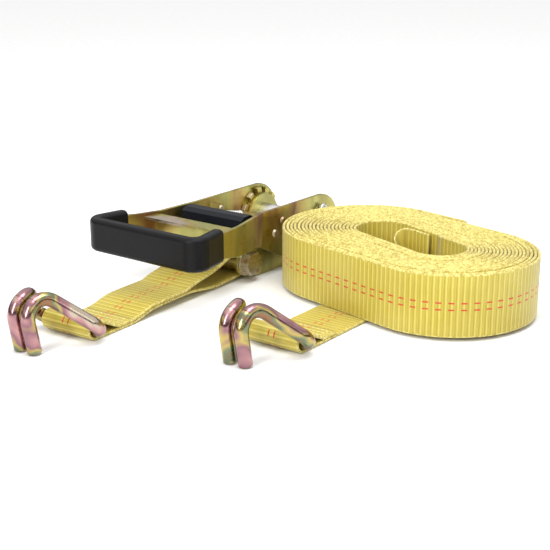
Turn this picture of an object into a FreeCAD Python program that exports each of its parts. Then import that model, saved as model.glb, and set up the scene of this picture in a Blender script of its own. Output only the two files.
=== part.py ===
import FreeCAD, Part
import math
import os
import re

import Sketcher

# Ratchet tie down for 50.8 mm webbing, drawn as it lies on a bench: the buckle closed, its short strap and
# hook beside it, and the long strap rolled up on its own hook end.
# Working frame: X runs along the buckle from the grip to the mandrel, Z is up, and the mandrel axis is X = 0,
# Y = 0. site_x and site_y move everything so that the origin is the middle of the whole layout's base.

doc = FreeCAD.newDocument("ratchet_tie_down")
V = FreeCAD.Vector
X_AXIS = V(1, 0, 0)
Y_AXIS = V(0, 1, 0)
Z_AXIS = V(0, 0, 1)

# ---------------------------------------------------------------- driving dimensions, millimetres and degrees
DIMENSIONS = {
    "site_x": 160.08,           # from the mandrel axis to the origin
    "site_y": 112.33,
    "webbing_width": 50.8,
    "webbing_thick": 2.4,
    "mandrel_height": 30.0,
    "mandrel_radius": 11.5,
    "mandrel_slot": 3.2,
    "mandrel_half_span": 47.0,
    "running_gap": 0.08,        # radial clearance of the mandrel in the frame and the handle
    "bolt_reach": 102.0,        # mandrel axis to anchor bolt axis, along X
    "bolt_height": 16.5,
    "bolt_radius": 6.35,
    "bolt_flats": 19.0,
    "bolt_head_thick": 7.9,
    "bolt_washer_thick": 2.0,
    "sleeve_radius": 8.5,
    "frame_gap": 55.0,          # between the frame's side plates
    "frame_plate": 3.2,
    "frame_hub_radius": 21.5,
    "frame_tail_radius": 12.0,
    "gear_side_gap": 0.5,
    "gear_thick": 4.0,
    "gear_tip_radius": 27.0,
    "gear_root_radius": 20.5,
    "gear_teeth": 12.0,
    "lock_angle": 17.0,         # the locking pawl slides this far below the level line
    "drive_angle": 13.0,        # the drive pawl slides this far above it, one tooth pitch away
    "lock_thick": 3.5,
    "drive_thick": 4.0,
    "drive_rest_radius": 27.5,  # the drive pawl's edge as it rides clear of the teeth
    "handle_plate": 3.0,
    "cheek_radius": 29.7,
    "flare_start": 89.0,        # where the handle's sides begin to spread
    "flare_end": 129.0,
    "flare_half": 44.8,         # half width where the flare ends, to the plate's middle
    "grip_reach": 201.0,        # mandrel axis to the middle of the handle's crossbar
    "grip_half": 60.0,          # half width at the crossbar, to the plate's middle
    "grip_arm": 168.0,          # mandrel axis to the ends of the grip's arms
    "grip_thick": 11.4,
    "grip_bottom": 36.0,
    "grip_top": 65.0,
    "strap_yaw": 2.5,           # the short strap lies this far off the buckle's axis
    "strap_reach": 189.0,       # anchor bolt to the short hook's bar
    "sleeve_play": 2.5,         # between the sleeve and the webbing looped round it
    "wire_radius": 5.5,
    "hook_bar_half": 31.4,      # middle of the bar to the corner of each arm
    "hook_corner": 7.0,
    "bar_play": 0.5,            # between the hook's bar and the webbing looped round it
    "hook_pair_half": 7.0,     # half the spacing of the two J bends
    "hook_bend_radius": 13.5,
    "roll_x": -57.0,
    "roll_y": -168.0,
    "roll_half_x": 75.0,
    "roll_half_y": 121.0,
    "roll_corner": 74.0,
    "roll_turn": -12.0,
    "roll_base": 2.8,
    "eye_half_x": 22.0,         # the open eye in the middle of the roll
    "eye_half_y": 58.0,
    "eye_shift": -4.0,
    "eye_turn": -8.0,           # further than the roll's own turn
    "tail_y": -151.0,
    "tail_bar_x": -216.0,
}

sizes = doc.addObject("Spreadsheet::Sheet", "Sizes")
for row, (alias, number) in enumerate(DIMENSIONS.items(), start=1):
    sizes.set("A%d" % row, alias)
    sizes.set("B%d" % row, str(number))
    sizes.setAlias("B%d" % row, alias)
doc.recompute()


def size(alias):
    """A driving dimension, read from the sheet."""
    return float(sizes.get(alias))


def bind(text):
    """Turn the aliases in a formula into references to the sheet's cells."""
    def cell(match):
        return "Sizes." + match.group(0) if match.group(0) in DIMENSIONS else match.group(0)
    return re.sub(r"[a-z_]+", cell, text)


SUBPARTS = []


def subpart(obj, label, place=None):
    """Name an object as one of the finished sub-parts and put it in the layout."""
    local = place or FreeCAD.Placement()
    site = FreeCAD.Placement(V(size("site_x"), size("site_y"), 0), FreeCAD.Rotation())
    obj.Label = label
    obj.Placement = site.multiply(local)
    SUBPARTS.append(obj)
    return obj


def feature(label, shape, place=None):
    """A sub-part whose bent or swept shape is made with Part's own functions."""
    obj = doc.addObject("Part::Feature", label + "_shape")
    obj.Shape = shape
    return subpart(obj, label, (place or FreeCAD.Placement()).multiply(shape.Placement))


# ---------------------------------------------------------------- sketches and body features
def new_body(name):
    return doc.addObject("PartDesign::Body", name + "_body")


def origin_feature(body, role):
    return [item for item in body.Origin.OriginFeatures if item.Role == role][0]


def new_sketch(body, plane, turn=0.0, lift=0.0):
    """A sketch on an origin plane; turn swings its axes in the plane, lift raises its origin."""
    sketch = body.newObject("Sketcher::SketchObject", body.Name + "_sketch")
    sketch.AttachmentSupport = (origin_feature(body, plane), [""])
    sketch.MapMode = "FlatFace"
    sketch.AttachmentOffset = FreeCAD.Placement(V(0, lift, 0), FreeCAD.Rotation(Z_AXIS, turn))
    return sketch


def add_polygon(sketch, corners):
    """A closed outline; each corner is a pair of formulas in the sheet's aliases."""
    count = len(corners)
    first = sketch.GeometryCount
    start = [V(10 * math.cos(2 * math.pi * i / count), 10 * math.sin(2 * math.pi * i / count), 0)
             for i in range(count)]
    for i in range(count):
        sketch.addGeometry(Part.LineSegment(start[i], start[(i + 1) % count]), False)
    for i in range(count):
        sketch.addConstraint(Sketcher.Constraint("Coincident", first + i, 2, first + (i + 1) % count, 1))
    for i, corner in enumerate(corners):
        for kind, formula, value in zip(("DistanceX", "DistanceY"), corner, (start[i].x, start[i].y)):
            index = sketch.addConstraint(Sketcher.Constraint(kind, -1, 1, first + i, 1, value))
            sketch.setExpression("Constraints[%d]" % index, bind(formula))


def add_rectangle(sketch, low_x, low_y, high_x, high_y):
    add_polygon(sketch, [(low_x, low_y), (high_x, low_y), (high_x, high_y), (low_x, high_y)])


def add_circle(sketch, centre_x, centre_y, radius):
    index = sketch.addGeometry(Part.Circle(V(1, 1, 0), Z_AXIS, 5), False)
    for kind, formula in (("DistanceX", centre_x), ("DistanceY", centre_y)):
        at = sketch.addConstraint(Sketcher.Constraint(kind, -1, 1, index, 3, 1))
        sketch.setExpression("Constraints[%d]" % at, bind(formula))
    at = sketch.addConstraint(Sketcher.Constraint("Radius", index, 5))
    sketch.setExpression("Constraints[%d]" % at, bind(radius))


def pad(body, sketch, thickness):
    """Material on both sides of the sketch's plane, thickness in all."""
    solid = body.newObject("PartDesign::Pad", body.Name + "_pad")
    solid.Profile = sketch
    solid.SideType = "Symmetric"
    solid.setExpression("Length", bind(thickness))
    return solid


def pocket(body, sketch):
    """Cut the sketch's outlines right through the body, both ways."""
    cut = body.newObject("PartDesign::Pocket", body.Name + "_pocket")
    cut.Profile = sketch
    cut.SideType = "Symmetric"
    cut.Type = "ThroughAll"
    return cut


# ---------------------------------------------------------------- shared curves and placements
MANDREL = V(0, 0, size("mandrel_height"))
BOLT = V(-size("bolt_reach"), 0, size("bolt_height"))
FRAME_HALF = size("frame_gap") / 2 + size("frame_plate")
GEAR_MIDDLE = FRAME_HALF + size("gear_side_gap") + size("gear_thick") / 2
HANDLE_INNER = FRAME_HALF + 2 * size("gear_side_gap") + size("gear_thick")
HANDLE_OUTER = HANDLE_INNER + size("handle_plate")
BAR_INNER = size("wire_radius") + size("bar_play")
BAR_HEIGHT = 0.1 + size("webbing_thick") + BAR_INNER


def along_slide(angle):
    """Placement of a pawl's own frame: +X away from the mandrel towards the grip, raised by angle."""
    tilt = FreeCAD.Rotation(Y_AXIS, angle)
    return FreeCAD.Placement(MANDREL, tilt.multiply(FreeCAD.Rotation(Z_AXIS, 180)))


LOCK_PLACE = along_slide(-size("lock_angle"))
DRIVE_PLACE = along_slide(size("drive_angle"))


def rounded_path(corners, radius):
    """A wire of straight runs through corners, joined by tangent arcs; radius is one value or one each."""
    radii = radius if isinstance(radius, (list, tuple)) else [radius] * (len(corners) - 2)
    edges = []
    start = corners[0]
    for corner, after, bend in zip(corners[1:-1], corners[2:], radii):
        back = (start - corner).normalize()
        ahead = (after - corner).normalize()
        half = back.getAngle(ahead) / 2
        reach = bend / math.tan(half)
        bisector = (back + ahead).normalize()
        middle = corner + bisector * (bend / math.sin(half) - bend)
        arc_start = corner + back * reach
        arc_end = corner + ahead * reach
        if (arc_start - start).Length > 1e-6:
            edges.append(Part.LineSegment(start, arc_start).toShape())
        edges.append(Part.Arc(arc_start, middle, arc_end).toShape())
        start = arc_end
    edges.append(Part.LineSegment(start, corners[-1]).toShape())
    return Part.Wire(edges)


def sweep(path, profile):
    return path.makePipeShell([profile], True, False)


def block(low, high):
    """A plain box between two corners."""
    return Part.makeBox(high.x - low.x, high.y - low.y, high.z - low.z, low)


def mirrored(shape):
    """The same shape on the other side of the XZ plane."""
    return shape.mirror(V(0, 0, 0), Y_AXIS)


def rounded_outline(half_x, half_y, corner):
    """A flat oblong face with round corners, centred on Z."""
    edges = []
    for sign_x, sign_y, first in ((1, 1, 0), (-1, 1, 90), (-1, -1, 180), (1, -1, 270)):
        centre = V(sign_x * (half_x - corner), sign_y * (half_y - corner), 0)
        points = [centre + V(corner * math.cos(math.radians(first + turn)),
                             corner * math.sin(math.radians(first + turn)), 0) for turn in (0, 45, 90)]
        edges.append(Part.Arc(*points).toShape())
    joined = []
    for i, arc in enumerate(edges):
        joined.append(arc)
        here = arc.Vertexes[1].Point
        there = edges[(i + 1) % 4].Vertexes[0].Point
        if (there - here).Length > 1e-6:
            joined.append(Part.LineSegment(here, there).toShape())
    return Part.Face(Part.Wire(joined))


# ---------------------------------------------------------------- frame: two side plates and a floor
def make_frame():
    body = new_body("frame")
    outline = new_sketch(body, "XZ_Plane")
    add_polygon(outline, [("-bolt_reach", "bolt_height - frame_tail_radius"), ("-bolt_reach + 20", "0"),
                          ("-30", "0"), ("0", "mandrel_height - frame_hub_radius"),
                          ("0", "mandrel_height + 1.5"), ("-60", "mandrel_height + 1.5"),
                          ("-bolt_reach", "bolt_height + frame_tail_radius")])
    pad(body, outline, "frame_gap + 2 * frame_plate")
    for centre_x, centre_z, radius in (("0", "mandrel_height", "frame_hub_radius"),
                                       ("-bolt_reach", "bolt_height", "frame_tail_radius")):
        end = new_sketch(body, "XZ_Plane")
        add_circle(end, centre_x, centre_z, radius)
        pad(body, end, "frame_gap + 2 * frame_plate")
    channel = new_sketch(body, "YZ_Plane")
    add_rectangle(channel, "-frame_gap / 2", "frame_plate", "frame_gap / 2", "mandrel_height * 3")
    pocket(body, channel)
    floor_ends = new_sketch(body, "XY_Plane")
    add_rectangle(floor_ends, "-bolt_reach - 30", "-frame_gap / 2", "-bolt_reach + 26", "frame_gap / 2")
    add_rectangle(floor_ends, "-38", "-frame_gap / 2", "40", "frame_gap / 2")
    pocket(body, floor_ends)
    bores = new_sketch(body, "XZ_Plane")
    add_circle(bores, "0", "mandrel_height", "mandrel_radius + running_gap")
    add_circle(bores, "-bolt_reach", "bolt_height", "bolt_radius")
    pocket(body, bores)
    slot = new_sketch(body, "XZ_Plane", 180 + size("lock_angle"), size("mandrel_height"))
    add_rectangle(slot, "20.5", "-lock_thick / 2 - 0.3", "43.5", "lock_thick / 2 + 0.3")
    pocket(body, slot)
    return subpart(body, "frame")


# The seat that the locking pawl's spring pushes against: a foot on the floor and an upright.
def make_spring_seat():
    foot = doc.addObject("Part::Box", "seat_foot")
    upright = doc.addObject("Part::Box", "seat_upright")
    for box, span, rise in ((foot, "13", "2.5"), (upright, "3", "18")):
        box.setExpression("Length", span)
        box.setExpression("Width", "40")
        box.setExpression("Height", rise)
        box.setExpression("Placement.Base.y", "-20")
        box.setExpression("Placement.Base.z", bind("frame_plate"))
    foot.setExpression("Placement.Base.x", "-74")
    upright.setExpression("Placement.Base.x", "-64")
    seat = doc.addObject("Part::Fuse", "seat")
    seat.Base, seat.Tool = foot, upright
    return subpart(seat, "spring_seat")


# ---------------------------------------------------------------- anchor bolt, nut, washers and sleeve
def across_y(height=0.0):
    """Placement that turns a primitive's own Z axis along +Y, starting at the given Y."""
    return FreeCAD.Placement(V(BOLT.x, height, BOLT.z), FreeCAD.Rotation(X_AXIS, -90))


def make_anchor():
    """The bolt runs along +Y from its head; each piece is drawn along Z and laid across the frame."""
    head_face = -FRAME_HALF - size("bolt_washer_thick") - size("bolt_head_thick")
    head = doc.addObject("Part::Prism", "bolt_head")
    head.Polygon = 6
    head.setExpression("Circumradius", bind("bolt_flats / 2 / cos(30 deg)"))
    head.setExpression("Height", bind("bolt_head_thick"))
    shank = doc.addObject("Part::Cylinder", "bolt_shank")
    shank.setExpression("Radius", bind("bolt_radius"))
    grip_length = "frame_gap + 2 * frame_plate + 2 * bolt_washer_thick + bolt_head_thick + 10.3"
    shank.setExpression("Height", bind(grip_length))
    bolt = doc.addObject("Part::Fuse", "bolt")
    bolt.Base, bolt.Tool = head, shank
    subpart(bolt, "anchor_bolt", across_y(head_face))

    blank = doc.addObject("Part::Prism", "nut_blank")
    blank.Polygon = 6
    blank.setExpression("Circumradius", bind("bolt_flats / 2 / cos(30 deg)"))
    blank.setExpression("Height", bind("bolt_head_thick"))
    hole = doc.addObject("Part::Cylinder", "nut_hole")
    hole.setExpression("Radius", bind("bolt_radius"))
    hole.setExpression("Height", bind("bolt_head_thick"))
    nut = doc.addObject("Part::Cut", "nut")
    nut.Base, nut.Tool = blank, hole
    subpart(nut, "anchor_nut", across_y(FRAME_HALF + size("bolt_washer_thick")))

    rings = []
    for side, start in (("near", "-frame_gap / 2 - frame_plate - bolt_washer_thick"),
                        ("far", "frame_gap / 2 + frame_plate")):
        ring = []
        for kind, radius in (("outer", "bolt_radius + 5.2"), ("inner", "bolt_radius")):
            disc = doc.addObject("Part::Cylinder", "washer_%s_%s" % (side, kind))
            disc.setExpression("Radius", bind(radius))
            disc.setExpression("Height", bind("bolt_washer_thick"))
            disc.setExpression("Placement.Base.z", bind(start))
            ring.append(disc)
        washer = doc.addObject("Part::Cut", "washer_" + side)
        washer.Base, washer.Tool = ring
        rings.append(washer)
    washers = doc.addObject("Part::Compound", "bolt_washer_pair")
    washers.Links = rings
    subpart(washers, "bolt_washers", across_y())

    tube = []
    for kind, radius in (("outer", "sleeve_radius"), ("inner", "bolt_radius")):
        disc = doc.addObject("Part::Cylinder", "sleeve_" + kind)
        disc.setExpression("Radius", bind(radius))
        disc.setExpression("Height", bind("frame_gap"))
        disc.setExpression("Placement.Base.z", bind("-frame_gap / 2"))
        tube.append(disc)
    sleeve = doc.addObject("Part::Cut", "sleeve")
    sleeve.Base, sleeve.Tool = tube
    subpart(sleeve, "anchor_sleeve", across_y())


# ---------------------------------------------------------------- mandrel, ratchet gears and their keepers
def make_mandrel():
    """Two half-round bars with the webbing slot between them."""
    for label, side in (("mandrel_half_upper", 1), ("mandrel_half_lower", -1)):
        bar = doc.addObject("Part::Cylinder", label + "_bar")
        bar.setExpression("Radius", bind("mandrel_radius"))
        bar.setExpression("Height", bind("2 * mandrel_half_span"))
        bar.setExpression("Placement.Base.z", bind("-mandrel_half_span"))
        flat = doc.addObject("Part::Box", label + "_flat")
        flat.setExpression("Length", bind("2 * mandrel_radius + 2"))
        flat.setExpression("Width", bind("mandrel_radius + mandrel_slot / 2 + 1"))
        flat.setExpression("Height", bind("2 * mandrel_half_span + 2"))
        flat.setExpression("Placement.Base.x", bind("-mandrel_radius - 1"))
        flat.setExpression("Placement.Base.z", bind("-mandrel_half_span - 1"))
        flat.setExpression("Placement.Base.y", bind("-mandrel_slot / 2" if side > 0 else
                                                    "-mandrel_radius - 1"))
        half = doc.addObject("Part::Cut", label + "_half")
        half.Base, half.Tool = bar, flat
        pins = []
        for end in ("-", ""):
            hole = doc.addObject("Part::Cylinder", label + "_hole")
            hole.setExpression("Radius", "2")
            hole.setExpression("Height", bind("4 * mandrel_radius"))
            hole.Placement.Rotation = FreeCAD.Rotation(X_AXIS, 90)
            hole.setExpression("Placement.Base.y", bind("2 * mandrel_radius"))
            hole.setExpression("Placement.Base.z", bind(end + "(mandrel_half_span - 4)"))
            pins.append(hole)
        holes = doc.addObject("Part::Fuse", label + "_holes")
        holes.Base, holes.Tool = pins
        drilled = doc.addObject("Part::Cut", label + "_drilled")
        drilled.Base, drilled.Tool = half, holes
        subpart(drilled, label, FreeCAD.Placement(MANDREL, FreeCAD.Rotation(X_AXIS, -90)))


def make_gear(label, side):
    """A twelve-notch ratchet wheel, its bore bridged by a bar that fills the mandrel's slot."""
    body = new_body(label)
    disc = new_sketch(body, "XZ_Plane")
    add_circle(disc, "0", "0", "gear_tip_radius")
    pad(body, disc, "gear_thick")
    bore = new_sketch(body, "XZ_Plane")
    add_circle(bore, "0", "0", "mandrel_radius")
    pocket(body, bore)
    bridge = new_sketch(body, "XZ_Plane")
    add_rectangle(bridge, "-mandrel_radius - 1", "-mandrel_slot / 2",
                  "mandrel_radius + 1", "mandrel_slot / 2")
    pad(body, bridge, "gear_thick")
    notch = new_sketch(body, "XZ_Plane", 180 - size("drive_angle"))
    add_polygon(notch, [("gear_root_radius", "-drive_thick / 2 - 0.4"),
                        ("gear_tip_radius + 2", "-drive_thick / 2 - 0.4"),
                        ("gear_tip_radius + 2", "drive_thick / 2 + 4.4"),
                        ("gear_root_radius", "drive_thick / 2 + 0.4")])
    cut = pocket(body, notch)
    doc.recompute()
    ring = body.newObject("PartDesign::PolarPattern", body.Name + "_ring")
    ring.Originals = [cut]
    ring.Axis = (origin_feature(body, "Y_Axis"), [""])
    ring.Angle = 360
    ring.setExpression("Occurrences", bind("gear_teeth"))
    body.Tip = ring
    return subpart(body, label, FreeCAD.Placement(MANDREL + V(0, side * GEAR_MIDDLE, 0), FreeCAD.Rotation()))


def make_mandrel_keepers():
    """A washer and a split pin outside each handle plate."""
    washer_start = HANDLE_OUTER + 0.3
    ring = Part.makeCylinder(15, 1.6, V(0, washer_start, 0), Y_AXIS)
    ring = ring.cut(Part.makeCylinder(size("mandrel_radius"), 1.6, V(0, washer_start, 0), Y_AXIS))
    at_mandrel = FreeCAD.Placement(MANDREL, FreeCAD.Rotation())
    feature("mandrel_washers", Part.makeCompound([ring, mirrored(ring)]), at_mandrel)
    pin_y = size("mandrel_half_span") - 4
    tall = size("mandrel_radius") + 1.2
    shank = Part.makeCylinder(2, 2 * tall, V(0, pin_y, -tall), Z_AXIS)
    eye = Part.makeTorus(3.4, 1.6, V(0, pin_y, tall + 4.2), Y_AXIS)
    feet = [Part.makeCylinder(1.5, 6, V(0, pin_y, -tall + 0.4), V(side, 0, -0.35)) for side in (1, -1)]
    pin = shank.fuse([eye] + feet)
    feature("cotter_pins", Part.makeCompound([pin, mirrored(pin)]), at_mandrel)


# ---------------------------------------------------------------- pawls and springs
def make_locking_pawl():
    """A flat slide whose ears pass through the frame's slots into both gears."""
    body = new_body("locking_pawl")
    outline = new_sketch(body, "XY_Plane")
    half = [("21.2", "35"), ("36", "35"), ("36", "20"), ("48", "20"), ("48", "2"), ("52", "2")]
    add_polygon(outline, [(reach, "-" + width) for reach, width in half] + half[::-1])
    pad(body, outline, "lock_thick")
    return subpart(body, "locking_pawl", LOCK_PLACE)


def make_drive_pawl():
    """The slide in the handle: ears for the gears, two spring windows, and a tongue in the pull bar."""
    body = new_body("drive_pawl")
    outline = new_sketch(body, "XY_Plane")
    half = [("drive_rest_radius", "38.4"), ("46", "38.4"), ("46", "29"), ("106", "29")]
    add_polygon(outline, [(reach, "-" + width) for reach, width in half] + half[::-1])
    pad(body, outline, "drive_thick")
    windows = new_sketch(body, "XY_Plane")
    add_rectangle(windows, "50", "12.2", "82", "22.4")
    add_rectangle(windows, "50", "-22.4", "82", "-12.2")
    pocket(body, windows)
    return subpart(body, "drive_pawl", DRIVE_PLACE)


def make_pull_bar():
    """The moulded bar on the drive pawl's outer edge, shaped to the fingers."""
    section = [V(-114, 0, 49), V(-112.5, 0, 56.5), V(-108, 0, 59.4),
               V(-99, 0, 59.7), V(-95, 0, 57), V(-94, 0, 50),
               V(-97, 0, 46.5), V(-111, 0, 46)]
    face = Part.Face(Part.makePolygon([point + V(0, -34.3, 0) for point in section + section[:1]]))
    bar = face.extrude(V(0, 68.6, 0))
    half_thick = size("drive_thick") / 2
    tongue = block(V(90, -29, -half_thick), V(106, 29, half_thick))
    tongue.Placement = DRIVE_PLACE
    feature("pull_bar", bar.cut(tongue))


def coil_spring(radius, wire, length, turns):
    """A helical spring along +X from the origin."""
    helix = Part.makeHelix(length / turns, length - 2 * wire, radius)
    profile = Part.Wire([Part.makeCircle(wire, V(radius, 0, 0), Y_AXIS)])
    spring = Part.Wire(helix.Edges).makePipeShell([profile], True, True)
    spring.translate(V(0, 0, wire))
    return spring.rotated(V(0, 0, 0), Y_AXIS, 90)


def make_springs():
    lock = coil_spring(3.4, 0.6, 13.4, 4)
    lock.translate(V(48.2, 0, 0))
    feature("locking_spring", lock, LOCK_PLACE)
    for label, side in (("pawl_spring_left", 1), ("pawl_spring_right", -1)):
        spring = coil_spring(3.4, 0.6, 23.4, 8)
        spring.translate(V(50.3, -side * 17.3, 0))
        feature(label, spring, DRIVE_PLACE)


# ---------------------------------------------------------------- handle
RIVETS = [(-58.0, 47.0), (-70.0, 37.5)]
RIVET_RADIUS = 2.4


def handle_corners(start):
    """One side of the handle in plan from X = start, and across the crossbar to the other side."""
    middle = HANDLE_INNER + size("handle_plate") / 2
    side = [V(-size("flare_start"), middle, 0), V(-size("flare_end"), size("flare_half"), 0),
            V(-size("grip_reach"), size("grip_half"), 0)]
    side = [V(start, middle, 0)] + side if start > -size("flare_start") else side[2:]
    if len(side) == 1:
        share = (start + size("flare_end")) / (size("flare_end") - size("grip_reach"))
        side = [V(start, size("flare_half") + share * (size("grip_half") - size("flare_half")), 0)] + side
    return side + [V(point.x, -point.y, 0) for point in reversed(side)]


def make_handle():
    """One strip of plate bent into a long U, trimmed to its side outline."""
    top = size("mandrel_height") + size("cheek_radius")
    middle = HANDLE_INNER + size("handle_plate") / 2
    half_plate = size("handle_plate") / 2
    start_x = size("cheek_radius") + 1
    path = rounded_path(handle_corners(start_x), [16, 16, 9, 9, 16, 16])
    profile = Part.makePolygon([V(start_x, middle - half_plate, 0), V(start_x, middle + half_plate, 0),
                                V(start_x, middle + half_plate, top), V(start_x, middle - half_plate, top),
                                V(start_x, middle - half_plate, 0)])
    strip = sweep(path, profile)
    plate_top, plate_bottom = size("grip_top") - 3, size("grip_bottom") + 4
    end = -size("grip_reach") - 10
    outline = [(0, top), (-92, top), (-129, 58), (-155, 59), (-175, plate_top), (end, plate_top),
               (end, plate_bottom), (-175, plate_bottom), (-130, 31.5), (-92, 29.5), (-58, 12.4),
               (-10, 1.95), (0, 20)]
    wide = V(0, 120, 0)
    trim = Part.Face(Part.makePolygon([V(x, -60, z) for x, z in outline + outline[:1]])).extrude(wide)
    trim = trim.fuse(Part.makeCylinder(size("cheek_radius"), 120, MANDREL + V(0, -60, 0), Y_AXIS))
    handle = strip.common(trim)
    bore_radius = size("mandrel_radius") + size("running_gap")
    bore = Part.makeCylinder(bore_radius, 120, MANDREL + V(0, -60, 0), Y_AXIS)
    slot = block(V(21.7, -60, -size("drive_thick") / 2 - 0.3), V(49.6, 60, size("drive_thick") / 2 + 0.3))
    slot.Placement = DRIVE_PLACE
    holes = [Part.makeCylinder(RIVET_RADIUS, 120, V(x, -60, z), Y_AXIS) for x, z in RIVETS]
    handle = handle.cut([bore, slot] + holes)
    feature("handle_frame", handle)

    # Web between the spread sides, with a lip towards the grip.
    web = block(V(-135, -60, 34), V(-132.4, 60, 56)).fuse(block(V(-148, -60, 53.6), V(-132.4, 60, 56)))
    solids = web.cut(handle).Solids
    feature("handle_web", min(solids, key=lambda solid: abs(solid.CenterOfMass.y)))


def make_bracket():
    """The cross member that the pawl springs push against: side flanges, a web under the pawl, two tabs."""
    flange = block(V(55, 33.4, -13), V(76, HANDLE_INNER, 8))
    web = block(V(57, -HANDLE_INNER, -9.5), V(64.5, HANDLE_INNER, -7))
    web = web.fuse(block(V(60, -30, -9.5), V(76, 30, -7)))
    tabs = [block(V(74, low, -9.5), V(76, low + 7.4, 3.6)) for low in (13.6, -21.0)]
    bracket = web.fuse([flange, mirrored(flange)] + tabs).removeSplitter()
    bracket.Placement = DRIVE_PLACE
    for x, z in RIVETS:
        for start in (-HANDLE_INNER, 33):
            bracket = bracket.cut(Part.makeCylinder(RIVET_RADIUS, HANDLE_INNER - 33, V(x, start, z), Y_AXIS))
    feature("spring_bracket", bracket)


def make_rivets():
    rivets = []
    for x, z in RIVETS:
        shank = Part.makeCylinder(RIVET_RADIUS, HANDLE_OUTER - 33.4, V(x, 33.4, z), Y_AXIS)
        outer_head = Part.makeCone(3.9, 2.4, 1.8, V(x, HANDLE_OUTER, z), Y_AXIS)
        inner_head = Part.makeCone(3.6, 2.4, 1.4, V(x, 33.4, z), V(0, -1, 0))
        rivet = shank.fuse([outer_head, inner_head])
        rivets += [rivet, mirrored(rivet)]
    feature("handle_rivets", Part.makeCompound(rivets))


def make_grip():
    """A rubber sleeve moulded round the handle's U end."""
    corners = handle_corners(-size("grip_arm"))
    path = rounded_path(corners, [9, 9])
    half_thick = size("grip_thick") / 2
    low, high = size("grip_bottom"), size("grip_top")
    middle = (low + high) / 2
    section = rounded_outline(half_thick, (high - low) / 2, 4.2)
    section.rotate(V(0, 0, 0), X_AXIS, 90)
    section.rotate(V(0, 0, 0), Z_AXIS, 90)
    section.translate(corners[0] + V(0, 0, middle))
    sleeve = sweep(path, section.OuterWire)
    handle = [obj for obj in SUBPARTS if obj.Label == "handle_frame"][0].Shape.copy()
    handle.Placement = FreeCAD.Placement()
    feature("handle_grip", sleeve.cut(handle))


# ---------------------------------------------------------------- hooks
def make_hook(label, place):
    """A double-J wire hook on its strap bar: the bar along Y at the origin, the two J bends towards -X."""
    bend = size("hook_bend_radius")
    crown = V(-38.5, 0, 18.4)
    tip = V(-47.5, 0, 1.7 - BAR_HEIGHT)
    leg = (crown + V(-bend, 0, -3) - tip).normalize()
    # The arm runs from the bar up to the crown's far side, tangent to it.
    reach = crown.Length
    slope = math.atan2(crown.z, -crown.x) + math.asin(bend / reach)
    arm = V(math.cos(slope), 0, -math.sin(slope))
    across = (leg + arm).normalize()
    turn = leg.getAngle(arm) / 2
    run = bend * math.tan(turn / 2)
    first = crown + V(-leg.z, 0, leg.x) * bend + leg * run
    second = first + across * (2 * run)
    pair = V(0, size("hook_pair_half"), 0)
    bar_end = V(0, size("hook_bar_half"), 0)
    knee = bar_end - arm * 12
    half = [tip + pair, first + pair, second + pair, knee, bar_end]
    corners = half + [V(point.x, -point.y, point.z) for point in reversed(half)]
    corner = size("hook_corner")
    radii = [bend * 0.999, bend * 0.999, 8, corner, corner, 8, bend * 0.999, bend * 0.999]
    path = rounded_path(corners, radii)
    wire = Part.Wire([Part.makeCircle(size("wire_radius"), corners[0], corners[1] - corners[0])])
    feature(label, sweep(path, wire), place)


# ---------------------------------------------------------------- webbing
def eye_outline(centre, radius, apex):
    """A circle drawn out to a point: the side view of a loop of webbing."""
    towards = apex - centre
    lean = math.degrees(math.acos(radius / towards.Length))
    heading = math.degrees(math.atan2(towards.z, towards.x))
    points = []
    for angle in (heading + lean, heading + 180, heading - lean):
        turn = math.radians(angle)
        points.append(centre + V(radius * math.cos(turn), 0, radius * math.sin(turn)))
    edges = [Part.Arc(*points).toShape(), Part.LineSegment(points[2], apex).toShape(),
             Part.LineSegment(apex, points[0]).toShape()]
    return Part.Face(Part.Wire(edges))


def webbing(faces, holes, middle_y):
    """Side-view faces, less the holes, made one webbing width wide about middle_y."""
    width = size("webbing_width")
    solid = faces[0].extrude(V(0, width, 0)).fuse([face.extrude(V(0, width, 0)) for face in faces[1:]])
    solid = solid.cut([hole.extrude(V(0, width, 0)) for hole in holes])
    solid.translate(V(0, middle_y - width / 2, 0))
    return solid.removeSplitter()


def side_strip(x_low, x_high, layers):
    """Flat layers of webbing on the ground, seen from the side."""
    low = 0.1
    high = low + layers * size("webbing_thick")
    corners = [V(x_low, 0, low), V(x_high, 0, low), V(x_high, 0, high), V(x_low, 0, high), V(x_low, 0, low)]
    return Part.Face(Part.makePolygon(corners))


def make_short_strap():
    """From the loop on the anchor sleeve down to the ground and on to the short hook's bar."""
    thick = size("webbing_thick")
    inner = size("sleeve_radius") + size("sleeve_play")
    far = -size("strap_reach")
    bolt_centre = V(0, 0, BOLT.z)
    bar_centre = V(far, 0, BAR_HEIGHT)
    faces = [eye_outline(bolt_centre, inner + thick, V(-60, 0, 0.1)), side_strip(far + 18, -46, 2),
             eye_outline(bar_centre, BAR_INNER + thick, V(far + 24, 0, 0.1))]
    holes = [eye_outline(bolt_centre, inner, V(-46, 0, 0.1 + thick)),
             eye_outline(bar_centre, BAR_INNER, V(far + 16, 0, 0.1 + thick))]
    place = FreeCAD.Placement(V(BOLT.x, 0, 0), FreeCAD.Rotation(Z_AXIS, size("strap_yaw")))
    feature("short_strap", webbing(faces, holes, 0), place)
    make_hook("hook_short", place.multiply(FreeCAD.Placement(bar_centre, FreeCAD.Rotation())))


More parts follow.
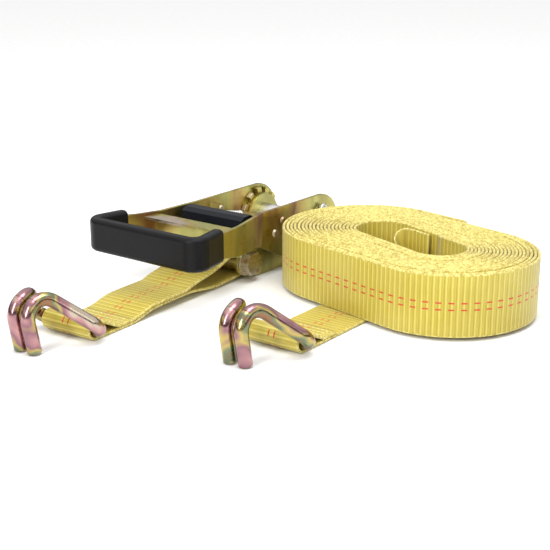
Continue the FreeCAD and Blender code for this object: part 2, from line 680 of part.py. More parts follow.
def make_long_strap():
    """The flat tail from the long hook, and the rolled strap standing on it."""
    thick = size("webbing_thick")
    bar_x = size("tail_bar_x")
    bar_centre = V(bar_x, 0, BAR_HEIGHT)
    faces = [eye_outline(bar_centre, BAR_INNER + thick, V(bar_x + 24, 0, 0.1)),
             side_strip(bar_x + 18, size("roll_x"), 1), side_strip(bar_x + 18, bar_x + 42, 2)]
    holes = [eye_outline(bar_centre, BAR_INNER, V(bar_x + 16, 0, 0.1 + thick))]
    feature("long_strap_tail", webbing(faces, holes, size("tail_y")))
    make_hook("hook_long", FreeCAD.Placement(V(bar_x, size("tail_y"), BAR_HEIGHT), FreeCAD.Rotation()))
    roll = rounded_outline(size("roll_half_x"), size("roll_half_y"), size("roll_corner"))
    eye = rounded_outline(size("eye_half_x"), size("eye_half_y"), size("eye_half_x") - 0.1)
    tall = V(0, 0, size("webbing_width"))
    eye.rotate(V(0, 0, 0), Z_AXIS, size("eye_turn"))
    eye.translate(V(0, size("eye_shift"), 0))
    rolled = roll.extrude(tall).cut(eye.extrude(tall))
    place = V(size("roll_x"), size("roll_y"), size("roll_base"))
    feature("long_strap_roll", rolled, FreeCAD.Placement(place, FreeCAD.Rotation(Z_AXIS, size("roll_turn"))))


# ---------------------------------------------------------------- build, check and write
make_frame()
make_spring_seat()
make_anchor()
make_mandrel()
make_gear("ratchet_gear_left", 1)
make_gear("ratchet_gear_right", -1)
make_mandrel_keepers()
make_locking_pawl()
make_drive_pawl()
make_pull_bar()
make_springs()
make_handle()
make_bracket()
make_rivets()
make_grip()
make_short_strap()
make_long_strap()
doc.recompute()

for obj in doc.Objects:
    if "Invalid" in obj.State or "Error" in obj.State:
        raise RuntimeError("%s did not recompute: %s" % (obj.Name, obj.State))
os.makedirs("parts", exist_ok=True)
whole = FreeCAD.BoundBox()
for obj in SUBPARTS:
    shape = obj.Shape
    if shape.isNull() or not shape.isValid() or not shape.Solids:
        raise RuntimeError("%s has no valid solid" % obj.Label)
    whole.add(shape.BoundBox)
    shape.exportStep(os.path.join("parts", obj.Label + ".step"))
print("%d sub-parts, whole box %s" % (len(SUBPARTS), whole))
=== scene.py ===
"""Ratchet tie down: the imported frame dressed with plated-steel, rubber and webbing materials, and with the
webbing itself remade as woven ribbon: the rolled long strap, its tail, and the buckle's short strap."""

import math

import bpy
from mathutils import Matrix, Vector, noise


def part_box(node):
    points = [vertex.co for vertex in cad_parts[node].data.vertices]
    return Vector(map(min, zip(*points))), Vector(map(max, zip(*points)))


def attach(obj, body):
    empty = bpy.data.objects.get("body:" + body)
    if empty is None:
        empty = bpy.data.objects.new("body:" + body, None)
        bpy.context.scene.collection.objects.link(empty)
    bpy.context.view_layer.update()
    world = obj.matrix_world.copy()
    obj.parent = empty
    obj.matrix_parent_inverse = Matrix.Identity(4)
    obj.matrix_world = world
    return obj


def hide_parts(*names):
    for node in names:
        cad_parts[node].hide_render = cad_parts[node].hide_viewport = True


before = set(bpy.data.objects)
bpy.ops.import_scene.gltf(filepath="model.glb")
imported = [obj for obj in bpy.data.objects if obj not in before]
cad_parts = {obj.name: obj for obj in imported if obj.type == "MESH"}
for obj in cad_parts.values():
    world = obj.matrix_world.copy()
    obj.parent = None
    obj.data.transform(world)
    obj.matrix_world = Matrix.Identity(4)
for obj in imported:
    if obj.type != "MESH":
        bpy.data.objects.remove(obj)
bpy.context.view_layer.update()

MM = 0.001
WEB_WIDTH = 0.0508
WEB_THICK = 0.0023


# ------------------------------------------------------------------ materials
class Graph:
    """A material's node graph, written as calls that return output sockets."""

    def __init__(self, name):
        self.material = bpy.data.materials.new(name)
        self.material.use_nodes = True
        self.tree = self.material.node_tree
        self.shader = self.tree.nodes["Principled BSDF"]

    def node(self, kind, sockets=None, **settings):
        made = self.tree.nodes.new(kind)
        for key, value in settings.items():
            setattr(made, key, value)
        for key, value in (sockets or {}).items():
            if isinstance(value, bpy.types.NodeSocket):
                self.tree.links.new(value, made.inputs[key])
            else:
                made.inputs[key].default_value = value
        return made

    def math(self, operation, first, second=0.0, third=0.0):
        return self.node("ShaderNodeMath", {0: first, 1: second, 2: third}, operation=operation).outputs[0]

    def noise(self, vector, scale, detail=3.0, roughness=0.5, distortion=0.0):
        return self.node("ShaderNodeTexNoise", {"Vector": vector, "Scale": scale, "Detail": detail,
                         "Roughness": roughness, "Distortion": distortion}).outputs["Fac"]

    def remap(self, value, low, high, to_low=0.0, to_high=1.0):
        return self.node("ShaderNodeMapRange", {"Value": value, "From Min": low, "From Max": high,
                         "To Min": to_low, "To Max": to_high}).outputs["Result"]

    def ramp(self, value, stops):
        ramp = self.node("ShaderNodeValToRGB", {"Fac": value})
        elements = ramp.color_ramp.elements
        while len(elements) < len(stops):
            elements.new(0.5)
        for element, (position, colour) in zip(elements, stops):
            element.position = position
            element.color = (*colour, 1.0)
        return ramp.outputs["Color"]

    def mix(self, factor, first, second):
        made = self.node("ShaderNodeMix", data_type="RGBA")
        for socket, value in zip((made.inputs[0], made.inputs[6], made.inputs[7]), (factor, first, second)):
            if isinstance(value, bpy.types.NodeSocket):
                self.tree.links.new(value, socket)
            else:
                socket.default_value = value if isinstance(value, float) else (*value, 1.0)
        return made.outputs[2]

    def bump(self, height, distance, strength=1.0, normal=None):
        sockets = {"Height": height, "Distance": distance, "Strength": strength}
        if normal is not None:
            sockets["Normal"] = normal
        return self.node("ShaderNodeBump", sockets).outputs["Normal"]

    def position(self):
        return self.node("ShaderNodeTexCoord").outputs["Object"]

    def set(self, **inputs):
        for key, value in inputs.items():
            socket = self.shader.inputs[key.replace("_", " ")]
            if isinstance(value, bpy.types.NodeSocket):
                self.tree.links.new(value, socket)
            else:
                socket.default_value = value
        return self.material


def plated_steel(name, stops, scale, rough=(0.24, 0.42), scratch=0.5, facing_light=0.0, banded=False):
    """Passivated zinc plate: a metal whose tint drifts slowly across the part, with rolling marks. How much
    of the tint follows the way the surface faces is painted light, the paler tints on upward faces and the
    darker ones on undersides, and banded draws the tints out across the plate."""
    g = Graph(name)
    place = g.position()
    tint_place = place
    if banded:
        tint_place = g.node("ShaderNodeMapping", {"Vector": place, "Scale": (1.0, 0.25, 0.35)}).outputs[0]
    drift = g.noise(tint_place, scale, 2.0, 0.5, 0.6)
    if facing_light:
        # painted light: upward faces take the paler tints of the ramp and undersides the darker ones
        normal = g.node("ShaderNodeTexCoord").outputs["Normal"]
        upward = g.node("ShaderNodeSeparateXYZ", {"Vector": normal}).outputs[2]
        drift = g.math("MULTIPLY_ADD", upward, facing_light, drift)
    tint = g.ramp(g.remap(drift, 0.32, 0.68), stops)
    speckle = g.noise(place, 900.0, 2.0)
    tint = g.mix(g.remap(speckle, 0.45, 0.75, 0.0, 0.16), tint, (0.16, 0.12, 0.08))
    stretched = g.node("ShaderNodeMapping", {"Vector": place, "Scale": (60.0, 700.0, 900.0)}).outputs[0]
    marks = g.noise(stretched, 1.0, 4.0, 0.7)
    wear = g.noise(place, 130.0, 4.0, 0.65)
    rolled = g.remap(marks, 0.4, 0.7, 0.0, 0.08)
    roughness = g.math("ADD", g.remap(wear, 0.3, 0.7, rough[0], rough[1]), rolled)
    edge = g.node("ShaderNodeBevel", {"Radius": 0.0007}, samples=6).outputs[0]
    fine = g.bump(g.math("ADD", marks, g.math("MULTIPLY", wear, 0.6)), 0.00012 * scratch, 0.7, edge)
    return g.set(Base_Color=tint, Metallic=1.0, Roughness=roughness, Normal=fine)


OLIVE = (0.34, 0.31, 0.11)
GOLD = (0.52, 0.40, 0.13)
UMBER = (0.28, 0.15, 0.08)
STRAW = (0.50, 0.47, 0.15)
ROSE = (0.50, 0.27, 0.27)
MAUVE = (0.27, 0.14, 0.17)
SEA = (0.17, 0.22, 0.14)
PALE = (0.55, 0.46, 0.36)

PLATE = plated_steel("yellow_zinc_plate", [(0.0, OLIVE), (0.35, STRAW), (0.68, GOLD), (1.0, UMBER)], 26.0,
                     banded=True)
PRESSING = plated_steel("yellow_zinc_pressing", [(0.0, OLIVE), (0.45, STRAW), (0.8, GOLD), (1.0, PALE)], 24.0)
WIRE = plated_steel("yellow_zinc_wire", [(0.0, UMBER), (0.2, SEA), (0.4, GOLD), (0.58, MAUVE), (0.8, ROSE),
                                         (1.0, PALE)], 28.0, (0.14, 0.24), 0.25, 0.13)
BRIGHT = plated_steel("bright_zinc", [(0.0, (0.58, 0.58, 0.56)), (1.0, (0.74, 0.73, 0.70))], 30.0,
                      (0.2, 0.38))
BOLT_HEAD = plated_steel("bright_bolt", [(0.0, (0.50, 0.44, 0.32)), (0.5, (0.62, 0.54, 0.38)),
                                         (1.0, (0.42, 0.24, 0.13))], 90.0, (0.2, 0.36))


def moulded(name, colour, sheen_colour, grain, rough):
    """Black moulded rubber or plastic: a fine pebbled skin, rubbed smoother in patches."""
    g = Graph(name)
    place = g.position()
    patches = g.noise(place, 35.0, 3.0)
    pebble = g.node("ShaderNodeTexVoronoi", {"Vector": place, "Scale": grain}).outputs["Distance"]
    dust = g.noise(place, 420.0, 5.0, 0.7)
    colour_out = g.mix(g.remap(dust, 0.5, 0.8, 0.0, 0.3), colour, sheen_colour)
    roughness = g.remap(patches, 0.3, 0.7, rough[0], rough[1])
    return g.set(Base_Color=colour_out, Roughness=roughness, Specular_IOR_Level=0.16,
                 Normal=g.bump(g.math("ADD", pebble, g.math("MULTIPLY", dust, 0.5)), 0.00009, 0.6))


RUBBER = moulded("grip_rubber", (0.006, 0.006, 0.007), (0.018, 0.018, 0.02), 1500.0, (0.3, 0.42))
PULL = moulded("pull_bar_plastic", (0.007, 0.008, 0.011), (0.016, 0.018, 0.024), 2600.0, (0.28, 0.4))


# The weave, in metres: picks run across the webbing and yarns along it.
PICK_PITCH = 0.0023
YARN_PITCH = 0.0011
YARN_STAGGER = 0.00115
SELVEDGE_START = 0.0020
SELVEDGE_FULL = 0.0010
TRACER_FROM_MIDDLE = 0.0027
TRACER_HALF_WIDTH = 0.0006
DASH_PITCH = 0.0098
DASH_LENGTH = 0.0046
BEFORE_START = 50.0  # keeps the dashes' modulo positive


def webbing_material(name):
    """Woven polyester: cross ribs of paired picks, warp yarns over them, two dashed red tracers, lighter worn
    patches and looped selvedges. UV: U runs along the webbing and V across it, both in metres."""
    g = Graph(name)
    uv = g.node("ShaderNodeUVMap", uv_map="weave").outputs[0]
    split = g.node("ShaderNodeSeparateXYZ", {"Vector": uv}).outputs
    wander = g.noise(uv, 90.0, 3.0)
    along = g.math("ADD", split[0], g.math("MULTIPLY", wander, 0.0006))
    across = split[1]

    def wave(value, pitch, phase=0.0):
        turns = g.math("MULTIPLY", g.math("ADD", value, phase), 2 * math.pi / pitch)
        return g.math("MULTIPLY_ADD", g.math("SINE", turns), 0.5, 0.5)

    rib = wave(along, PICK_PITCH)
    pair = wave(along, 2 * PICK_PITCH, 0.0004)
    offset = g.math("MULTIPLY", g.math("ROUND", g.math("DIVIDE", across, YARN_PITCH)), YARN_STAGGER)
    yarn = g.math("MULTIPLY", wave(across, YARN_PITCH), wave(g.math("ADD", along, offset), PICK_PITCH))
    height = g.math("ADD", g.math("MULTIPLY", rib, 0.7), g.math("MULTIPLY", pair, 0.35))
    height = g.math("ADD", height, g.math("MULTIPLY", yarn, 0.35))

    body = g.ramp(g.noise(uv, 30.0, 4.0), [(0.3, (0.56, 0.44, 0.028)), (0.7, (0.70, 0.57, 0.055))])
    # painted shade: the colour darkens in the hollows between the weave's ribs
    shade = g.remap(height, 0.1, 1.3, 0.0, 1.0)
    colour = g.mix(shade, (0.34, 0.25, 0.015), body)
    # painted highlight on the crests of the paired ribs
    colour = g.mix(g.math("MULTIPLY", pair, 0.3), colour, (0.86, 0.75, 0.20))
    worn = g.remap(g.noise(uv, 11.0, 5.0, 0.6), 0.42, 0.72, 0.0, 0.25)
    colour = g.mix(worn, colour, (0.84, 0.76, 0.28))

    middle = g.math("SUBTRACT", across, WEB_WIDTH / 2)
    selvedge = g.remap(g.math("ABSOLUTE", middle), WEB_WIDTH / 2 - SELVEDGE_START,
                       WEB_WIDTH / 2 - SELVEDGE_FULL)
    loops = g.ramp(g.noise(g.position(), 420.0, 3.0, 0.6),
                   [(0.36, (0.36, 0.26, 0.02)), (0.62, (0.88, 0.78, 0.28))])
    colour = g.mix(g.math("MULTIPLY", selvedge, 0.7), colour, loops)
    row = g.math("ABSOLUTE", g.math("SUBTRACT", g.math("ABSOLUTE", middle), TRACER_FROM_MIDDLE))
    in_row = g.math("LESS_THAN", row, TRACER_HALF_WIDTH)
    step = g.math("MODULO", g.math("ADD", along, BEFORE_START), DASH_PITCH)
    dash = g.math("LESS_THAN", step, DASH_LENGTH)
    tracer = g.math("MULTIPLY", in_row, dash)
    colour = g.mix(tracer, colour, (0.58, 0.035, 0.01))
    roughness = g.remap(rib, 0.0, 1.0, 0.58, 0.34)
    normal = g.bump(height, 0.00042, 0.85)
    g.set(Base_Color=colour, Roughness=roughness, Normal=normal)
    return g.set(Sheen_Weight=0.2, Sheen_Roughness=0.4, Specular_IOR_Level=0.5)


WEBBING = webbing_material("yellow_webbing")


def thread_material(name, colour):
    """Twisted sewing thread, with painted shade between the twists."""
    g = Graph(name)
    wave = g.node("ShaderNodeTexWave", {"Vector": g.position(), "Scale": 900.0, "Distortion": 1.5})
    twist = wave.outputs["Fac"]
    # painted shade: the colour darkens to 0.7 between the twists
    return g.set(Base_Color=g.mix(twist, tuple(0.7 * c for c in colour), colour), Roughness=0.55,
                 Normal=g.bump(twist, 0.00008))


THREAD = thread_material("yellow_thread", (0.88, 0.78, 0.40))


def dress(node, material):
    """Gives a CAD node one material all over."""
    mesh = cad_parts[node].data
    mesh.materials.clear()
    mesh.materials.append(material)
    for polygon in mesh.polygons:
        polygon.material_index = 0


for group, material in (
        (("frame", "handle_frame"), PLATE),
        (("handle_web", "spring_bracket", "spring_seat", "drive_pawl", "locking_pawl", "anchor_sleeve",
          "ratchet_gear_left", "ratchet_gear_right"), PRESSING),
        (("hook_short", "hook_long"), WIRE),
        (("mandrel_half_upper", "mandrel_half_lower", "mandrel_washers", "cotter_pins", "pawl_spring_left",
          "pawl_spring_right", "locking_spring"), BRIGHT),
        (("anchor_bolt", "anchor_nut", "bolt_washers", "handle_rivets"), BOLT_HEAD),
        (("handle_grip",), RUBBER),
        (("pull_bar",), PULL)):
    for node_name in group:
        dress(node_name, material)


# ------------------------------------------------------------------ webbing ribbons
def ribbon(name, centres, across, width=WEB_WIDTH, thick=WEB_THICK, start_at=0.0):
    """A woven ribbon along centres, with a rounded selvedge on both edges. across holds the direction of the
    ribbon's width at each point, or one direction for all. Returns the object and the ribbon's length."""
    count = len(centres)
    if isinstance(across, Vector):
        across = [across] * count
    run = [start_at]
    for before, after in zip(centres, centres[1:]):
        run.append(run[-1] + (after - before).length)
    half = width / 2
    edge = thick / 2
    section = []
    for share in (-1.0, -0.33, 0.33, 1.0):
        section.append((share * (half - edge), edge))
    for turn in (60, 0, -60):
        angle = math.radians(turn)
        section.append((half - edge + edge * math.cos(angle), edge * math.sin(angle)))
    for share in (1.0, 0.33, -0.33, -1.0):
        section.append((share * (half - edge), -edge))
    for turn in (240, 180, 120):
        angle = math.radians(turn)
        section.append((-half + edge + edge * math.cos(angle), edge * math.sin(angle)))
    size = len(section)
    points, uvs, faces = [], [], []
    for i, centre in enumerate(centres):
        ahead = (centres[min(i + 1, count - 1)] - centres[max(i - 1, 0)]).normalized()
        side = across[i].normalized()
        up = side.cross(ahead).normalized()
        side = ahead.cross(up).normalized()
        for sideways, lift in section:
            points.append(centre + side * sideways + up * lift)
    for i in range(count - 1):
        for j in range(size):
            k = (j + 1) % size
            faces.append((i * size + j, i * size + k, (i + 1) * size + k, (i + 1) * size + j))
            uvs += [(run[i], section[j][0] + half), (run[i], section[k][0] + half),
                    (run[i + 1], section[k][0] + half), (run[i + 1], section[j][0] + half)]
    for end in (0, count - 1):
        ring = [end * size + j for j in range(size)]
        faces.append(tuple(ring if end else reversed(ring)))
        order = range(size) if end else reversed(range(size))
        uvs += [(run[end] + section[j][1], section[j][0] + half) for j in order]
    mesh = bpy.data.meshes.new(name)
    mesh.from_pydata(points, [], faces)
    layer = mesh.uv_layers.new(name="weave")
    for loop, uv in zip(layer.data, uvs):
        loop.uv = uv
    mesh.polygons.foreach_set("use_smooth", [True] * len(mesh.polygons))
    mesh.materials.append(WEBBING)
    obj = bpy.data.objects.new(name, mesh)
    bpy.context.scene.collection.objects.link(obj)
    return obj, run[-1] - start_at


def stations(corner_steps, long_steps, short_steps):
    """One lap of a round-cornered oblong as (x, y, heading): x and y place the corner's centre as a share of
    its furthest place, and heading is the outward direction. It starts in the middle of the +X side."""
    lap = []
    for quarter, (x, y) in enumerate(((1, 1), (-1, 1), (-1, -1), (1, -1))):
        lap += [(x, y, 90.0 * (quarter + i / corner_steps)) for i in range(corner_steps)]
        after = ((-1, 1), (-1, -1), (1, -1), (1, 1))[quarter]
        steps = short_steps if quarter % 2 == 0 else long_steps
        lap += [(x + (after[0] - x) * i / steps, y + (after[1] - y) * i / steps, 90.0 * (quarter + 1))
                for i in range(steps)]
    start = len(lap) - long_steps // 2
    return lap[start:] + lap[:start]


def on_oblong(station, half_x, half_y, corner):
    """The place of a station on an oblong of this size and corner radius."""
    x, y, heading = station
    turn = math.radians(heading)
    return Vector((x * (half_x - corner) + corner * math.cos(turn),
                   y * (half_y - corner) + corner * math.sin(turn), 0.0))


def wobble(seed, at, size):
    """A smooth unevenness of up to about this size, the same on every run."""
    return size * noise.noise(Vector((seed * 7.31, at, seed * 1.7)))


def eased(share):
    """A smooth rise from 0 to 1."""
    share = min(1.0, max(0.0, share))
    return share * share * (3 - 2 * share)


# ------------------------------------------------------------------ the rolled long strap
roll_low, roll_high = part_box("long_strap_roll")
tail_low, tail_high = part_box("long_strap_tail")
roll_centre = (roll_low + roll_high) / 2
ROLL_HALF = Vector((0.075, 0.121, 0.0))
ROLL_CORNER = 0.074
ROLL_TURN = Matrix.Rotation(math.radians(-12.0), 3, "Z")
EYE_HALF = Vector((0.022, 0.058, 0.0))
EYE_CORNER = 0.0219
EYE_SHIFT = Vector((0.0, -0.004, 0.0))
EYE_TURN = -8.0
WRAPS = 20
LOOSENESS = 0.0006  # how far the outer wraps stray from the oblong
END_LIFT = 0.0016  # how far the outer end stands off the wrap under it
WAVE_OF_EDGE = 0.0011  # slow rise and fall of the wraps' edges
WAVE_OF_WRAP = 0.0004  # quicker unevenness within a wrap


def to_plan(point, share):
    """From the roll's own plan to the layout; share is 0 on the outermost wrap and 1 round the eye."""
    inner = Matrix.Rotation(math.radians(EYE_TURN * share), 3, "Z")
    return roll_centre + ROLL_TURN @ (inner @ point + EYE_SHIFT * share)


# Heights of the middle of webbing that lies on the ground, and of a second layer on top of it.
GROUND = 0.1 * MM + WEB_THICK / 2 + 0.05 * MM
SECOND = GROUND + WEB_THICK + 0.05 * MM


def roll_point(lap, turns):
    """Middle of the webbing after this many turns in from the outer end."""
    station = lap[int(round((turns % 1.0) * len(lap))) % len(lap)]
    share = turns / WRAPS
    inset = WEB_THICK / 2

    def between(outer, inner):
        return outer - inset + (inner - outer + 2 * inset) * share

    point = on_oblong(station, between(ROLL_HALF.x, EYE_HALF.x), between(ROLL_HALF.y, EYE_HALF.y),
                      between(ROLL_CORNER, EYE_CORNER))
    heading = math.radians(station[2])
    loose = wobble(3.0, turns * 3.1, LOOSENESS) * (1 - share) + END_LIFT * math.exp(-turns / 0.05)
    outward = Vector((math.cos(heading), math.sin(heading), 0))
    return to_plan(point + outward * loose, share)


lap = stations(corner_steps=18, long_steps=8, short_steps=1)
roll_line = []
for i in range(WRAPS * len(lap)):
    turns = i / len(lap)
    point = roll_point(lap, turns)
    point.z += wobble(1.0, turns * 0.9, WAVE_OF_EDGE) + wobble(2.0, turns * 9.0, WAVE_OF_WRAP)
    roll_line.append(point)
roll, roll_length = ribbon("rolled_webbing", roll_line, Vector((0, 0, 1)))

# The strap's inner end follows the eye's wall, turns across the eye, and lies down to pass under the roll.
tail_y = (tail_low.y + tail_high.y) / 2
TAIL_START = Vector((roll_centre.x - 0.028, tail_y, 0.0))
OFF_THE_WALL = 0.0026
WALL_PULL = 0.040  # how firmly the curve keeps to the eye's wall
TAIL_PULL = 0.055  # how firmly it keeps to the tail
FALL_START = 0.35  # share of the curve where the strap starts to lie down
FALL_SHARE = 0.5
EDGE_CLEARANCE = 0.0012


def turn_across_eye(steps=40):
    """Middles and width directions of the strap from the eye's wall to the flat tail."""
    wall = to_plan(Vector((EYE_HALF.x - OFF_THE_WALL, 0.0, 0.0)), 1.0)
    northward = (to_plan(Vector((0, 1, 0)), 1.0) - to_plan(Vector((0, 0, 0)), 1.0)).normalized()
    control = [wall, wall + northward * WALL_PULL, TAIL_START + Vector((TAIL_PULL, 0, 0)), TAIL_START]
    line, widths = [], []
    for i in range(steps + 1):
        t = i / steps
        weights = ((1 - t) ** 3, 3 * t * (1 - t) ** 2, 3 * t * t * (1 - t), t ** 3)
        point = sum((corner * weight for corner, weight in zip(control, weights)), Vector((0, 0, 0)))
        heading = ((control[1] - control[0]) * (1 - t) ** 2 + (control[2] - control[1]) * 2 * t * (1 - t)
                   + (control[3] - control[2]) * t * t)
        heading.z = 0
        upright = math.radians(90.0 * (1 - eased((t - FALL_START) / FALL_SHARE)))
        left = Vector((0, 0, 1)).cross(heading.normalized())
        point.z = GROUND + (WEB_WIDTH / 2 + EDGE_CLEARANCE) * math.sin(upright)
        line.append(point)
        widths.append(Vector((0, 0, 1)) * math.sin(upright) + left * math.cos(upright))
    return line, widths


fold_line, fold_across = turn_across_eye()
fold, fold_length = ribbon("eye_fold", fold_line, fold_across)
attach(fold, "long_strap")
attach(roll, "long_strap")
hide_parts("long_strap_roll")


# ------------------------------------------------------------------ straps with a loop round a bar
def arc(centre, radius, start, end, steps):
    """Points of an arc in the XZ plane; angles from +X towards +Z, in degrees."""
    return [centre + Vector((radius * math.cos(math.radians(start + (end - start) * i / steps)), 0.0,
                             radius * math.sin(math.radians(start + (end - start) * i / steps))))
            for i in range(steps + 1)]


def straight(start, end, steps):
    """Points from start to end, without start itself."""
    return [start.lerp(end, i / steps) for i in range(1, steps + 1)]


LAP_FROM_BAR = 0.026  # where the loop's upper layer has come down onto the lower one


def hook_loop(bar, radius, lap_length, steps=22):
    """From the ground below the bar, round it, and down onto the strap's own top for the sewn lap."""
    meet = Vector((bar.x + LAP_FROM_BAR, 0, SECOND))
    gap = meet - bar
    lean = math.degrees(math.atan2(gap.z, gap.x)) + math.degrees(math.acos(radius / gap.length))
    line = arc(bar, radius, -90.0, -360.0 + lean, steps)
    line += straight(line[-1], meet, 5)
    return line + straight(meet, meet + Vector((lap_length, 0, 0)), 9)


BAR_X = tail_low.x + 0.0084
BAR_Z = 0.0085
LAP = 0.016
LOOP_RADIUS = 0.0060 + WEB_THICK / 2 + 0.00005
bar = Vector((BAR_X, 0, BAR_Z))
tail_line = [Vector((TAIL_START.x, 0, GROUND))]
tail_line += straight(tail_line[0], Vector((BAR_X, 0, GROUND)), 60)[:-1]
tail_line += hook_loop(bar, LOOP_RADIUS, LAP)
for point in tail_line:
    point.y = tail_y
tail, tail_length = ribbon("tail_webbing", tail_line, Vector((0, 1, 0)), start_at=0.003)
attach(tail, "long_strap")
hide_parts("long_strap_tail")

# The short strap lies turned a little about the anchor bolt, so it is drawn straight and then turned.
bolt_low, bolt_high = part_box("anchor_sleeve")
bolt = (bolt_low + bolt_high) / 2
YAW = math.radians(2.5)
REACH = 0.189  # from the bolt to the hook's bar
ARCH = 0.005  # how far the strap bows up off the ground
ARCH_UNEVENNESS = 0.0015
SLEEVE_RADIUS = 0.0110 + WEB_THICK / 2 + 0.00005
UPPER_LIFTS_AT = -0.078  # X places, from the bolt, where each layer leaves the ground for the sleeve
LOWER_LIFTS_AT = -0.058
END_GAP = 0.0004  # between the upper layer's end and the lap sewn at the hook


def short_strap_line():
    """Middles of the doubled strap: from its end beside the lap, round the sleeve and back to the hook."""
    centre = Vector((0, 0, bolt.z))
    meet = Vector((UPPER_LIFTS_AT, 0, SECOND))
    gap = meet - centre
    heading = math.degrees(math.atan2(gap.z, gap.x)) % 360.0
    lean = math.degrees(math.acos(SLEEVE_RADIUS / gap.length))
    under = Vector((LOWER_LIFTS_AT, 0, GROUND))
    gap_under = under - centre
    heading_under = math.degrees(math.atan2(gap_under.z, gap_under.x)) % 360.0
    lean_under = math.degrees(math.acos(SLEEVE_RADIUS / gap_under.length))
    line = [Vector((-REACH + LAP_FROM_BAR + LAP + END_GAP, 0, SECOND))]
    line += straight(line[0], meet, 30)
    line[0].z += END_GAP
    over = arc(centre, SLEEVE_RADIUS, heading - lean, heading_under + lean_under - 360.0, 30)
    line += straight(meet, over[0], 8)[:-1] + over
    line += straight(over[-1], under, 9)
    line += straight(under, Vector((-REACH, 0, GROUND)), 36)[:-1]
    line += hook_loop(Vector((-REACH, 0, BAR_Z)), LOOP_RADIUS, LAP)
    for point in line:
        arch = eased((point.x + REACH - 0.040) / 0.030) * eased((-0.030 - point.x) / 0.045)
        point.z += arch * (ARCH + wobble(5.0, point.x * 18.0, ARCH_UNEVENNESS))
    return line


turn = Matrix.Translation((bolt.x, bolt.y, 0)) @ Matrix.Rotation(YAW, 4, "Z")
short, short_length = ribbon("short_webbing", [turn @ p for p in short_strap_line()],
                             turn.to_3x3() @ Vector((0, 1, 0)))
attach(short, "short_strap")
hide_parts("short_strap")


# ------------------------------------------------------------------ sewn laps
STITCH_PITCH = 0.0040
STITCH_RADIUS = 0.00045
STITCH_RISE = 0.0005
SEAM_MARGIN = 0.005
SEAM_START = 0.027  # X places of the seam, from the hook's bar
SEAM_END = 0.039


def stitching(name, body, rows, place):
    """Rows of short raised stitches. Each row is (start, end) in the strap's own frame, on the webbing's
    top, and place takes that frame to the layout."""
    points, faces = [], []
    for start, end in rows:
        count = max(2, int((end - start).length / STITCH_PITCH))
        for i in range(count):
            low = start.lerp(end, (i + 0.10) / count)
            high = start.lerp(end, (i + 0.84) / count)
            ahead = (high - low).normalized()
            side = Vector((0, 0, 1)).cross(ahead)
            first = len(points)
            for share, swell, lift in ((0, 0.2, -0.2), (0.2, 0.9, 0.25), (0.8, 0.9, 0.25), (1, 0.2, -0.2)):
                centre = low.lerp(high, share) + Vector((0, 0, lift * STITCH_RISE))
                for degrees in range(0, 360, 60):
                    angle = math.radians(degrees)
                    outward = side * math.cos(angle) + Vector((0, 0, math.sin(angle)))
                    points.append(place @ (centre + outward * STITCH_RADIUS * swell))
            for ring in range(3):
                for j in range(6):
                    a = first + ring * 6 + j
                    b = first + ring * 6 + (j + 1) % 6
                    faces.append((a, b, b + 6, a + 6))
            faces += [tuple(first + j for j in reversed(range(6))), tuple(first + 18 + j for j in range(6))]
    mesh = bpy.data.meshes.new(name)
    mesh.from_pydata(points, [], faces)
    mesh.polygons.foreach_set("use_smooth", [True] * len(mesh.polygons))
    mesh.materials.append(THREAD)
    obj = bpy.data.objects.new(name, mesh)
    bpy.context.scene.collection.objects.link(obj)
    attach(obj, body)


def lap_rows(x_low, x_high, top):
    """A box of stitches with one more row across its middle, over a lap between two X places."""
    reach = WEB_WIDTH / 2 - SEAM_MARGIN
    corners = [Vector((x_low, -reach, top)), Vector((x_high, -reach, top)), Vector((x_high, reach, top)),
               Vector((x_low, reach, top))]
    rows = list(zip(corners, corners[1:] + corners[:1]))
    middle = [Vector(((x_low + x_high) / 2, side * reach, top)) for side in (-1, 1)]
    return rows + [tuple(middle)]


LAP_TOP = SECOND + WEB_THICK / 2
stitching("tail_stitching", "long_strap", lap_rows(bar.x + SEAM_START, bar.x + SEAM_END, LAP_TOP),
          Matrix.Translation((0, tail_y, 0)))
stitching("short_stitching", "short_strap", lap_rows(-REACH + SEAM_START, -REACH + SEAM_END, LAP_TOP), turn)


# ------------------------------------------------------------------ floor, light and camera
FLOOR_REACH = 30.0
FLOOR_Z = -0.0002
CAMERA_OFFSET = Vector((-0.877, -0.647))  # from the mandrel's middle
CAMERA_HEIGHT = 0.3168
CAMERA_DOWN = 17.5
CAMERA_AZIMUTH = 37.0 - 90.0
SENSOR = 36.0
LENS = 76.385455  # long, so the perspective is slight


def floor_material():
    """White paper with a faint grain."""
    g = Graph("paper_floor")
    grain = g.noise(g.position(), 60.0, 4.0)
    colour = g.ramp(grain, [(0.3, (0.86, 0.86, 0.86)), (0.7, (0.9, 0.9, 0.895))])
    return g.set(Base_Color=colour, Roughness=0.8, Specular_IOR_Level=0.2)


ground = bpy.data.meshes.new("floor")
corners = [(x * FLOOR_REACH, y * FLOOR_REACH, FLOOR_Z) for x, y in ((-1, -1), (1, -1), (1, 1), (-1, 1))]
ground.from_pydata(corners, [], [(0, 1, 2, 3)])
ground.materials.append(floor_material())
floor = bpy.data.objects.new("floor", ground)
bpy.context.scene.collection.objects.link(floor)


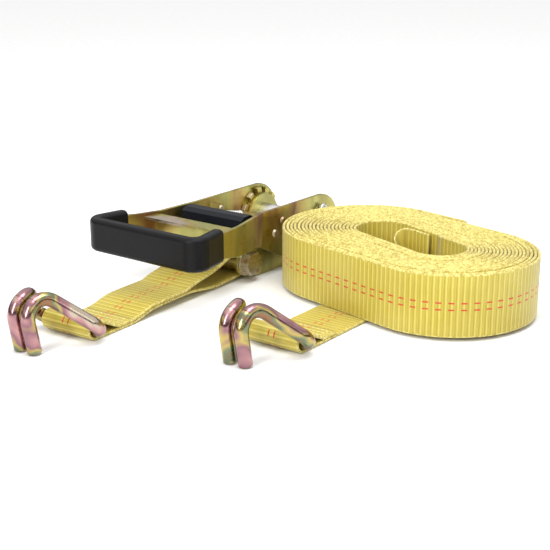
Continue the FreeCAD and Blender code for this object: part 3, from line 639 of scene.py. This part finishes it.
def area_light(name, place, target, size, power):
    """A white rectangular light, turned to face target. Its size is in metres and its power in watts."""
    light = bpy.data.lights.new(name, "AREA")
    light.shape = "RECTANGLE"
    light.size, light.size_y = size
    light.energy = power
    obj = bpy.data.objects.new(name, light)
    obj.location = place
    obj.rotation_euler = (Vector(target) - Vector(place)).to_track_quat("-Z", "Y").to_euler()
    bpy.context.scene.collection.objects.link(obj)


area_light("overhead_box", (0.0, -0.3, 1.5), (0, -0.05, 0), (1.0, 0.8), 12.0)
area_light("left_box", (-1.4, -0.1, 0.8), (0, 0, 0.02), (0.35, 1.0), 13.0)
area_light("front_box", (-0.2, -1.5, 0.8), (0, 0, 0.02), (0.9, 0.4), 1.5)


def studio_world():
    """White light from above, and a dark band round the horizon for metal to mirror."""
    made = bpy.data.worlds.new("studio")
    made.use_nodes = True
    tree = made.node_tree
    background = tree.nodes["Background"]
    heading = tree.nodes.new("ShaderNodeTexCoord").outputs["Generated"]
    split = tree.nodes.new("ShaderNodeSeparateXYZ")
    tree.links.new(heading, split.inputs[0])
    height = tree.nodes.new("ShaderNodeValToRGB")
    tree.links.new(split.outputs["Z"], height.inputs["Fac"])
    elements = height.color_ramp.elements
    for position, grey in ((0.05, 0.10), (0.24, 0.14), (0.32, 1.0), (0.62, 1.1)):
        elements.new(position).color = (grey, grey, grey, 1.0)
    elements[0].color = (0.10, 0.10, 0.10, 1.0)
    elements[-1].color = (1.6, 1.6, 1.6, 1.0)
    tree.links.new(height.outputs["Color"], background.inputs["Color"])
    background.inputs["Strength"].default_value = 0.9
    return made


bpy.context.scene.world = studio_world()
bpy.context.scene.view_settings.view_transform = "Standard"

camera_data = bpy.data.cameras.new("camera")
camera_data.sensor_width = SENSOR
camera_data.lens = LENS
camera_data.clip_end = 100.0
camera = bpy.data.objects.new("camera", camera_data)
mandrel_low, mandrel_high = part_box("mandrel_half_upper")
mandrel = (mandrel_low + mandrel_high) / 2
camera.location = (mandrel.x + CAMERA_OFFSET.x, mandrel.y + CAMERA_OFFSET.y, CAMERA_HEIGHT)
camera.rotation_euler = (math.radians(90.0 - CAMERA_DOWN), 0.0, math.radians(CAMERA_AZIMUTH))
bpy.context.scene.collection.objects.link(camera)
bpy.context.scene.camera = camera
